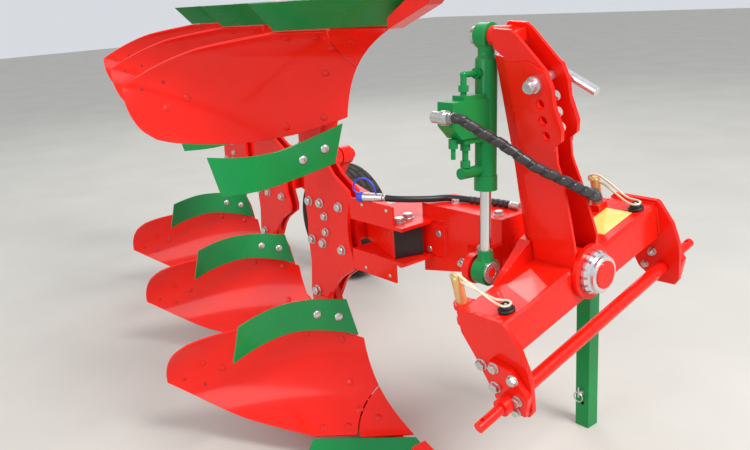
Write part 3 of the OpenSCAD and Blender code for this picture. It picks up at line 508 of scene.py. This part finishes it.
def repeat_boards(name, surface, grid, t, finish, upper, node):
    """One closed sheet for each body, joined into one piece that stands for the CAD node."""
    front, back = thick(surface, grid, t)
    parts = []
    for k in range(BODIES):
        p, f = sheet_mesh(in_body(front, k, upper), in_body(back, k, upper))
        parts.append((p, f.tolist()))
    obj = piece(name, parts, finish, "frame", node, angle=50)
    mod = obj.modifiers.new("Rounded_rim", "BEVEL")
    mod.width, mod.segments, mod.limit_method = 0.0018, 2, "ANGLE"
    mod.angle_limit = np.radians(50)
    return obj


# ---------------------------------------------------------------- pieces

RED_NODES = {"frame": ["turning_frame", "front_plate", "clamp_plates", "turning_shaft", "main_beam", "leg_plates",
                       "leg_blocks", "frogs_lower", "frogs_upper", "points_lower", "points_upper",
                       "landsides_lower", "landsides_upper", "trash_stays_lower", "trash_stays_upper",
                       "cylinder_arm", "stand_sleeve", "wheel_bracket"],
             "headstock": ["crossbeam", "hub", "cheek_plates", "link_brackets", "link_pins", "spreader_tube",
                           "tower_plates", "tower_web", "tower_head", "lock_lugs"],
             "wheel_arm": ["wheel_arm"], "wheel": ["wheel_hub", "wheel_rim"]}
OTHER_NODES = [("shaft_nut", "bright", "frame"), ("beam_caps", "plastic", "frame"),
               ("shares_lower", "green_board", "frame"), ("shares_upper", "green_board", "frame"),
               ("top_link_pin", "bright", "headstock"), ("lock_pins", "yellow_zinc", "headstock"),
               ("cylinder_pin", "zinc", "headstock"), ("hose_couplers", "zinc", "frame"),
               ("cylinder_barrel", "green", "cylinder_barrel"), ("valve_block", "green", "cylinder_barrel"),
               ("valve_fittings", "green", "cylinder_barrel"), ("hose_elbow", "zinc", "cylinder_barrel"),
               ("cylinder_rod", "chrome", "cylinder_rod"), ("rod_eye", "green", "cylinder_rod"),
               ("rod_bush", "bright", "cylinder_rod"), ("stand_leg", "green", "stand"),
               ("stand_pin", "zinc", "stand")]


class PLOUGH_OT_steelwork(bpy.types.Operator):
    """Welded and bolted steel: the CAD nodes with rounded edges and their finishes"""
    bl_idname = "plough.steelwork"
    bl_label = "Steelwork"

    def execute(self, context):
        for body, nodes in RED_NODES.items():
            for node in nodes:
                softened(node, "red", body)
        for node, finish, body in OTHER_NODES:
            softened(node, finish, body, 0.6)
        return {"FINISHED"}


class PLOUGH_OT_moldboards(bpy.types.Operator):
    """Moldboards, shins and trashboards as smooth twisted sheets"""
    bl_idname = "plough.moldboards"
    bl_label = "Moldboards"

    def execute(self, context):
        board = patch(BOARD["low"], BOARD["high"], BOARD["near"], BOARD["far"], 90, 50)
        shin = patch([[0, 92], [128, 88]], [[0, 206], [58, 155], [128, 93]], [[0, 92], [0, 206]],
                     [[128, 88], [128, 93]], 24, 16)
        trash = patch(TRASH_LOW, TRASH_HIGH, [TRASH_LOW[0], TRASH_HIGH[0]], [TRASH_LOW[-1], TRASH_HIGH[-1]], 60, 12)
        for upper, word in ((False, "lower"), (True, "upper")):
            repeat_boards("Moldboards_" + word, board_x, board, 8, "board", upper, "moldboards_" + word)
            repeat_boards("Shins_" + word, board_x, shin, 8, "board", upper, "shins_" + word)
            repeat_boards("Trashboards_" + word, trash_x, trash, 6, "green_board", upper, "trashboards_" + word)
        return {"FINISHED"}


# Plow bolts of a board, each at its width and height: the square-necked ones, then those of the wing
BOARD_BOLTS = [(64, 218), (79, 145), (199, 105), (138, 108), (51, 126), (51, 358), (136, 384), (423, 299),
               (370, 273)]
WING_BOLTS = [(475, 237), (424, 218)]
TRASH_BOLTS = [(142, 480), (70, 455)]
# Rows of a leg's bolts, from the shaft's height, and the faces of its two plates
LEG_BOLTS = [(-930, 70), (-866, 72), (-759, 75), (-845, 28), (-926, 262)]
LEG_FACES = (-6.0, 43.0)


def surface_places(surface, spots, kind, size, upper, lift=0.2):
    """Fasteners on a board's surface x(a, z), standing along its normal (1, dx/da, -dx/dz), in every body."""
    out = []
    for k in range(BODIES):
        for a, z in spots:
            n = np.array([1.0, (surface(a + 1, z) - surface(a - 1, z)) / 2,
                          -(surface(a, z + 1) - surface(a, z - 1)) / 2])
            n /= np.linalg.norm(n)
            at = np.array([surface(a, z), -a, z]) + lift * n
            tip = in_body(at + n, k, upper)
            at = in_body(at, k, upper)
            out.append((at, tip - at, kind, size))
    return out


class PLOUGH_OT_body_bolts(bpy.types.Operator):
    """Plow bolts in the boards, hexagon bolts with washers and nuts in the legs and their clamps"""
    bl_idname = "plough.body_bolts"
    bl_label = "Body bolts"

    def execute(self, context):
        for upper, word in ((False, "lower"), (True, "upper")):
            # Under each plow bolt's head lies a wider disc of darkened red, so a ring of painted shade shows in the
            # seam round it; the wing's bolts are only such a dark disc
            seam_shade = surface_places(board_x, BOARD_BOLTS, "flush", 24, upper)
            seam_shade += surface_places(board_x, WING_BOLTS, "flush", 11, upper)
            piece("Board_bolt_seam_shade_" + word, fasteners(seam_shade, np.asarray), "painted_seam_shade", "frame")
            heads = surface_places(board_x, BOARD_BOLTS, "flush", 20.5, upper, 0.5)
            piece("Board_bolt_heads_" + word, fasteners(heads, np.asarray), "board", "frame")
            domes = surface_places(trash_x, TRASH_BOLTS, "dome", 26, upper)
            piece("Trashboard_bolts_" + word, fasteners(domes, np.asarray), "zinc", "frame")
        legs = []
        for k in range(BODIES):
            for upper in (False, True):
                for x, z in LEG_BOLTS:
                    size = 22 if z == 28 else 30 if z == 262 else 26
                    for face, way, kind in ((LEG_FACES[0], -1, "bolt"), (LEG_FACES[1], 1, "nut")):
                        if z < 60 and way > 0:
                            continue
                        at = in_body([x, face, AXIS_H - z], k, upper)
                        legs.append((at, (0, way, 0), kind, size))
        piece("Leg_bolts_and_nuts", fasteners(legs, np.asarray), "zinc", "frame", "leg_bolts")
        clamps = [((x, y, s * 62), (0, 0, s), "bolt" if s > 0 else "nut", 30)
                  for x, y in ((-500, -150), (-515, -100)) for s in (-1, 1)]
        piece("Clamp_bolts", fasteners(clamps, from_axis), "zinc", "frame", "clamp_bolts")
        front = [((-399, 0, 108), (0, 0, 1), "bolt", 24), ((-206, -21, 108), (0, 0, 1), "bolt", 24),
                 ((-411, -60, 22), (0, -1, 0), "bolt", 20), ((-455, -60, -36), (0, -1, 0), "bolt", 20),
                 ((-319, -60, -54), (0, -1, 0), "nut", 22), ((-242, -60, 8), (0, -1, 0), "bolt", 20)]
        front += [((x, -195, z), (0, -1, 0), "dome", 11) for x in (-625, -507) for z in (-104, 108)]
        piece("Turning_frame_bolts", fasteners(front, from_axis), "zinc", "frame")
        return {"FINISHED"}


class PLOUGH_OT_headstock_parts(bpy.types.Operator):
    """Bolts of the headstock's side plates, wire bails, rubber stops and blank patches"""
    bl_idname = "plough.headstock_parts"
    bl_label = "Headstock parts"

    def execute(self, context):
        spots = [(355, -8, -112, 26), (375, 56, -86, 24), (375, 47, -150, 26), (375, 113, -103, 24),
                 (375, 114, -167, 24), (375, 104, -205, 22)]
        outer = [((x, s * y, z), (0, s, 0), "bolt" if s < 0 else "nut", size)
                 for y, x, z, size in spots for s in (-1, 1)]
        inner = [((x, s * 340, z), (0, -s, 0), "nut", 20) for x, z in ((62, -128),) for s in (-1, 1)]
        inner += [((32, s * 340, -178), (0, -s, 0), "bolt", 18) for s in (-1, 1)]
        piece("Side_plate_bolts", fasteners(outer + inner, headstock), "zinc", "headstock")
        bails, stops, studs = [], [], []
        for s in (-1, 1):
            loop = spline([[-104, 308 * s, 94], [-86, 308 * s, 93], [-62, 308 * s, 93], [-34, 303 * s, 82],
                           [20, 290 * s, 59], [50, 279 * s, 57], [66, 283 * s, 57], [68, 297 * s, 57],
                           [54, 305 * s, 57], [20, 304 * s, 64], [-34, 309 * s, 96], [-68, 310 * s, 115],
                           [-88, 309 * s, 118], [-103, 308 * s, 112], [-108, 308 * s, 102], [-104, 308 * s, 94]], 10)
            p, f = tube(loop[:-3], mm("wire") / 2, 10, (0, 1, 0))
            bails.append((headstock(p), f))
            puck = [[21, 0], [22, 1.5], [22, 7], [20.5, 9], [17, 10], [17, 16.5], [15.5, 18.5], [13.5, 19],
                    [12.5, 15.5], [6, 15.5]]
            stops += [(headstock(p), f) for p, f in standing([turned(puck, 36)], (55, 292 * s, 35), (0, 0, 1))]
            studs.append(((55, 292 * s, 50.2), (0, 0, 1), "bolt", 8))
        piece("Lock_pin_bails", bails, "wire", "headstock")
        piece("Rubber_stops", stops, "plastic", "headstock", "rubber_stops")
        piece("Rubber_stop_screws", fasteners(studs, headstock), "zinc", "headstock")
        for name, finish, e in (("Pale_patch", "pale_patch", [[-24, -198], [82, -237], [76, -156], [-19, -103]]),
                                ("Yellow_patch", "yellow_patch", [[-30, 130], [56, 130], [56, 270], [-30, 270]])):
            e = np.asarray(e, float)
            p = np.concatenate([np.c_[e, np.full(4, 34.9)], np.c_[e, np.full(4, 35.3)]])
            sides = [[3, 2, 1, 0], [4, 5, 6, 7], [0, 1, 5, 4], [1, 2, 6, 5], [2, 3, 7, 6], [3, 0, 4, 7]]
            piece(name, [(headstock(p), sides)], finish, "headstock")
        # Ring between the nut and the shaft's end, whose centre is drilled
        ring = standing([turned([[50, 0], [50, 9], [47, 12], [30, 12]], 48)], (130, 0, 0), (1, 0, 0))
        piece("Shaft_ring", [(headstock(p), f) for p, f in ring], "bright", "frame")
        # The drilled centre is a thin disc in the darkened red: painted shade in the hole
        centre = standing([turned([[3, 0], [3, 0.4], [2, 0.5]], 16)], (146, 0, 0), (1, 0, 0))
        piece("Shaft_centre_shade", [(headstock(p), f) for p, f in centre], "painted_seam_shade", "frame")
        eye = standing([turned([[13.7, 0], [13.7, 38], [12, 40]], 32)], (-16, 0, 628.995), (1, 0, 0))
        piece("Rod_pin_end", [(on_cylinder(p), f) for p, f in eye], "red", "cylinder_rod")
        return {"FINISHED"}


HOSE = [[-84, -206, 505], [-68, -206, 504], [-48, -200, 494], [-30, -184, 469], [10, -140, 410], [60, -107, 350],
        [100, -52, 291], [112, 30, 215], [72, 100, 164], [12, 178, 126], [-38, 236, 100], [-54, 258, 78],
        [-56, 259, 55.6]]
TOP_HOSE = [[-548, -168, 137], [-518, -153, 135], [-488, -110, 129], [-462, -48, 121], [-434, -4, 119.5],
            [-394, 14, 119.5], [-326, 28, 119.5], [-270, 46, 119.5], [-215, 50, 119.5]]


class PLOUGH_OT_hoses(bpy.types.Operator):
    """Hoses with their spiral guards, ferrules, and a dust cap with its strap"""
    bl_idname = "plough.hoses"
    bl_label = "Hoses"

    def execute(self, context):
        p, f = tube(even(spline(HOSE, 24), 4.0)[0], 11.6, 24)
        piece("Guarded_hose", [(headstock(p), f)], "hose", "headstock", "guarded_hose", angle=40)
        p, f = guard(HOSE, 11.0, 13.9, mm("guard_pitch"), (0.005, 0.975))
        piece("Hose_guard", [(headstock(p), f)], "guard", "headstock", angle=40)
        p, f = tube(even(spline(TOP_HOSE, 24), 4.0)[0], 10.2, 24)
        piece("Frame_hose", [(from_axis(p), f)], "hose", "frame", "frame_hose", angle=40)
        p, f = guard(TOP_HOSE, 9.6, 11.4, mm("guard_pitch") / 2, (0.66, 0.97))
        piece("Frame_hose_guard", [(from_axis(p), f)], "guard", "frame", angle=40)
        ends = []
        for line, move, r, last in ((HOSE, headstock, 12.6, 22), (TOP_HOSE, from_axis, 10.9, 9)):
            path, s = even(spline(line, 24), 1.0)
            for part in (path[:12], path[::-1][:last]):
                q = np.arange(len(part))
                ring = r + 1.1 * (np.abs((q / 9.0) % 1 - 0.5) < 0.3) - 1.2 * (q > len(part) - 3)
                g, h = tube(part, ring[:, None], 24)
                ends.append((move(g), h, move is headstock))
        piece("Hose_ferrules", [(g, h) for g, h, head in ends if head], "zinc", "headstock")
        piece("Frame_hose_ferrules", [(g, h) for g, h, head in ends if not head], "zinc", "frame")
        # Dust cap on the end of the coupler, and the strap that holds it
        way = np.array([-90.0, -46.0, 0.0]) / np.hypot(90, 46)
        end = np.array(TOP_HOSE[0], float) + way * 74
        cap = [[10, -6], [15.4, -6], [15.8, -4.5], [15.8, 5], [14.6, 6], [14.6, 12], [13.2, 14.5], [6, 15.5]]
        parts = standing([turned(cap, 32)], end, way)
        strap = spline([end + way * 12 + [0, 0, 8], end + way * 26 + [0, 0, 26], end + way * 16 + [0, 0, 52],
                        end - way * 14 + [0, 0, 60], end - way * 40 + [0, 0, 42], end - way * 50 + [0, 0, 12]], 10)
        parts.append(tube(strap, 3.2, 10, (0, 0, 1)))
        piece("Dust_cap_and_strap", [(from_axis(p), f) for p, f in parts], "cap", "frame")
        return {"FINISHED"}


WHEEL = np.array([-2050.0, 800.0, 310.0])
# Half of the tyre's section, from its bead to the middle of its tread: radius and offset
TYRE_HALF = [(178.4, 68), (182, 73), (196, 79), (214, 86), (240, 89.5), (262, 89.6), (280, 86), (294, 79),
             (302, 70), (307, 56), (309.5, 30), (310, 0)]


class PLOUGH_OT_wheel(bpy.types.Operator):
    """Tyre with a block tread, and wheel nuts"""
    bl_idname = "plough.wheel"
    bl_label = "Depth wheel"

    def execute(self, context):
        half = spline(TYRE_HALF, 4)
        section = np.concatenate([half, half[::-1][1:] * [1, -1]])
        m, n = len(section), 336
        t = np.arange(n) * 2 * np.pi / n
        r, y = section[:, :1], section[:, 1:]
        # Grooves round the tread at 0 and 34 mm, zigzag grooves across it every 15 degrees
        zig = (t[None, :] * 24 / (2 * np.pi) + 0.20 * np.sin(np.abs(y) / 20) + 0.5 * (y > 0)) % 1
        round_cut = (np.abs(np.abs(y) - 34) < 3.4) | (np.abs(y) < 3.0)
        cross_cut = (zig < 0.15) & (np.abs(y) > 8)
        depth = mm("tread") * np.where((round_cut | cross_cut) & (r > 292), 1.0, 0.0)
        side = 1.6 * ((np.abs(r - 232) < 3) | (np.abs(r - 268) < 2.2))
        r = r - depth - 1.4 * (np.abs(r - 205) < 2) + np.where(np.abs(y) > 60, 0, 0)
        y = np.sign(y) * (np.abs(y) - 0.8 + 0.4 * side)
        bore = np.array([[178.3, -67.0], [178.3, 67.0]])
        grid = np.stack([r * np.cos(t), np.broadcast_to(y, r.shape) + 0 * t, r * np.sin(t)], -1)
        ring = np.stack([bore[:, :1] * np.cos(t), bore[:, 1:] + 0 * t, bore[:, :1] * np.sin(t)], -1)
        grid = np.concatenate([grid, ring])
        faces = grid_faces(m + 2, n, wrap_n=True, wrap_m=True)
        piece("Tyre", [(grid.reshape(-1, 3) + WHEEL, faces.tolist())], "rubber", "wheel", "tyre", angle=32)
        nuts = [(WHEEL + [72 * np.cos(a), s * 0 - 14.8, 72 * np.sin(a)], (0, -1, 0), "nut", 26)
                for a in np.arange(5) * 2 * np.pi / 5 + 0.3 for s in (1,)]
        piece("Wheel_nuts", fasteners(nuts, np.asarray), "zinc", "wheel")
        return {"FINISHED"}


class PLOUGH_OT_small_parts(bpy.types.Operator):
    """Weld beads, and the clip of the stand's pin with its ring"""
    bl_idname = "plough.small_parts"
    bl_label = "Welds and clips"

    def execute(self, context):
        beads = []
        for s in (-1, 1):
            for line in ([[-60, 340 * s, 35.4], [86, 340 * s, 35.4]], [[-62.4, 340 * s, -66], [-62.4, 340 * s, 28]],
                         [[90.4, 340 * s, -66], [90.4, 340 * s, 28]]):
                p, f = weld(line, (0.3, 0.5, 0.9))
                beads.append((headstock(p), f))
            for z in (14, 30, -34, -18):
                p, f = weld([[-62.2, 308 * s - 24, z], [-62.2, 308 * s + 24, z]], (0.3, 0.5, 0.9))
                beads.append((headstock(p), f))
        ring = np.linspace(0, 2 * np.pi, 60)
        p, f = weld(np.stack([0 * ring + 90.5, 56 * np.cos(ring), 56 * np.sin(ring)], -1), (1, 0, 0))
        beads.append((headstock(p), f))
        piece("Headstock_welds", beads, "red", "headstock", angle=60)
        beads = [weld(line, (0.3, 0.5, 0.9)) for line in
                 ([[-385, -60.3, 46], [-385, -60.3, -46]], [[-489, -60.2, 62], [-400, -60.2, 62]],
                  [[-489, -60.2, -62], [-400, -60.2, -62]])]
        piece("Frame_welds", [(from_axis(p), f) for p, f in beads], "red", "frame", angle=60)
        # Linch pin through the stand's pin: a short peg and a ring that folds over it
        a = np.linspace(0, 2 * np.pi, 48)
        at = np.array([-188.0, 387.0 - 26 - 13, 130.0])
        ring = np.stack([17 * np.cos(a), 0 * a - 1.5, 17 * np.sin(a) - 15], -1) + at
        peg = np.stack([0 * a[:12], 0 * a[:12], np.linspace(-16, 22, 12)], -1) + at
        piece("Stand_pin_clip", [tube(ring, 1.9, 10), tube(peg, 3.0, 14)], "zinc", "stand")
        return {"FINISHED"}


class PLOUGH_OT_stage(bpy.types.Operator):
    """Floor, lights and the camera at the photograph's angle"""
    bl_idname = "plough.stage"
    bl_label = "Stage and camera"

    def execute(self, context):
        scene = context.scene
        floor_mesh = bpy.data.meshes.new("Floor")
        floor_mesh.from_pydata([[-30, -30, 0], [30, -30, 0], [30, 30, 0], [-30, 30, 0]], [], [[0, 1, 2, 3]])
        floor = link("Floor", floor_mesh)
        # Plain swept concrete, pale and dull
        m = bpy.data.materials.new("Pale_concrete_floor")
        m.use_nodes = True
        t = m.node_tree
        at = add(t, "ShaderNodeTexCoord").outputs["Object"]
        cloud = add(t, "ShaderNodeTexNoise", {"Vector": at, "Scale": 1.6, "Detail": 5.0}).outputs["Fac"]
        grit = add(t, "ShaderNodeTexNoise", {"Vector": at, "Scale": 160.0, "Detail": 2.0}).outputs["Fac"]
        tone = add(t, "ShaderNodeMapRange", {0: cloud, 1: 0.3, 2: 0.7, 3: 0.96, 4: 1.04}).outputs[0]
        base = add(t, "ShaderNodeVectorMath", {0: linear("#C6C3BB"), "Scale": tone}, operation="SCALE").outputs[0]
        bump = add(t, "ShaderNodeBump", {"Height": grit, "Strength": 0.12, "Distance": 0.002}).outputs[0]
        bsdf = t.nodes["Principled BSDF"]
        t.links.new(base, bsdf.inputs["Base Color"])
        t.links.new(bump, bsdf.inputs["Normal"])
        bsdf.inputs["Roughness"].default_value = 0.9
        floor.data.materials.append(m)
        world = bpy.data.worlds.new("Soft_studio")
        world.use_nodes = True
        world.node_tree.nodes["Background"].inputs[0].default_value = (*linear("#EEF2F8"), 1)
        world.node_tree.nodes["Background"].inputs[1].default_value = 0.8
        scene.world = world
        for name, at, size, power in (("Key", (5.5, 0.5, 6.0), 2.4, 470.0), ("Fill", (1.5, -6.5, 3.5), 4.0, 130.0),
                                      ("Rim", (-5.0, 4.0, 5.0), 4.0, 120.0)):
            data = bpy.data.lights.new(name, "AREA")
            data.size, data.energy = size, power
            lamp = bpy.data.objects.new(name, data)
            scene.collection.objects.link(lamp)
            lamp.location = at
            lamp.rotation_mode = "QUATERNION"
            lamp.rotation_quaternion = (Vector((0.2, 0.0, 0.6)) - Vector(at)).to_track_quat("-Z", "Y")
        # The camera stands where the photograph's vanishing points put it
        beta, tilt, roll = np.radians([38.97, 16.49, 3.81])
        look = np.array([-np.cos(beta) * np.cos(tilt), np.sin(beta) * np.cos(tilt), -np.sin(tilt)])
        right = np.array([np.sin(beta), np.cos(beta), 0.0])
        down = np.cross(look, right)
        x = np.cos(roll) * right + np.sin(roll) * down
        y = -np.sin(roll) * right + np.cos(roll) * down
        data = bpy.data.cameras.new("Camera")
        data.sensor_width = 36.0
        data.lens = 781.0 / 750.0 * 36.0
        cam = bpy.data.objects.new("Camera", data)
        scene.collection.objects.link(cam)
        m4 = np.eye(4)
        m4[:3, 0], m4[:3, 1], m4[:3, 2] = x, -y, -look
        m4[:3, 3] = place([1261.0, -1672.0, 1489.0])
        cam.matrix_world = Matrix(m4.tolist())
        scene.camera = cam
        scene.view_settings.view_transform = "Standard"
        return {"FINISHED"}


OPERATORS = [PLOUGH_OT_steelwork, PLOUGH_OT_moldboards, PLOUGH_OT_body_bolts, PLOUGH_OT_headstock_parts,
             PLOUGH_OT_hoses, PLOUGH_OT_wheel, PLOUGH_OT_small_parts, PLOUGH_OT_stage]


class PLOUGH_PT_panel(bpy.types.Panel):
    """Shows the plough's colours and sizes, and a button for each group of pieces"""
    bl_label = "Plough"
    bl_idname = "PLOUGH_PT_panel"
    bl_space_type = "VIEW_3D"
    bl_region_type = "UI"
    bl_category = "Plough"

    def draw(self, context):
        for settings in (context.scene.plough_colours, context.scene.plough_sizes):
            for name in settings.__annotations__:
                self.layout.prop(settings, name)
        for op in OPERATORS:
            self.layout.operator(op.bl_idname)


CLASSES = [PloughColours, PloughSizes, *OPERATORS, PLOUGH_PT_panel]


def register():
    for c in CLASSES:
        bpy.utils.register_class(c)
    bpy.types.Scene.plough_colours = PointerProperty(type=PloughColours)
    bpy.types.Scene.plough_sizes = PointerProperty(type=PloughSizes)


def unregister():
    del bpy.types.Scene.plough_sizes
    del bpy.types.Scene.plough_colours
    for c in reversed(CLASSES):
        bpy.utils.unregister_class(c)


def main():
    register()
    make_finishes(bpy.context.scene.plough_colours)
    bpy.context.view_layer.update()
    bpy.ops.plough.steelwork()
    bpy.ops.plough.moldboards()
    bpy.ops.plough.body_bolts()
    bpy.ops.plough.headstock_parts()
    bpy.ops.plough.hoses()
    bpy.ops.plough.wheel()
    bpy.ops.plough.small_parts()
    bpy.ops.plough.stage()


if __name__ == "__main__":
    main()
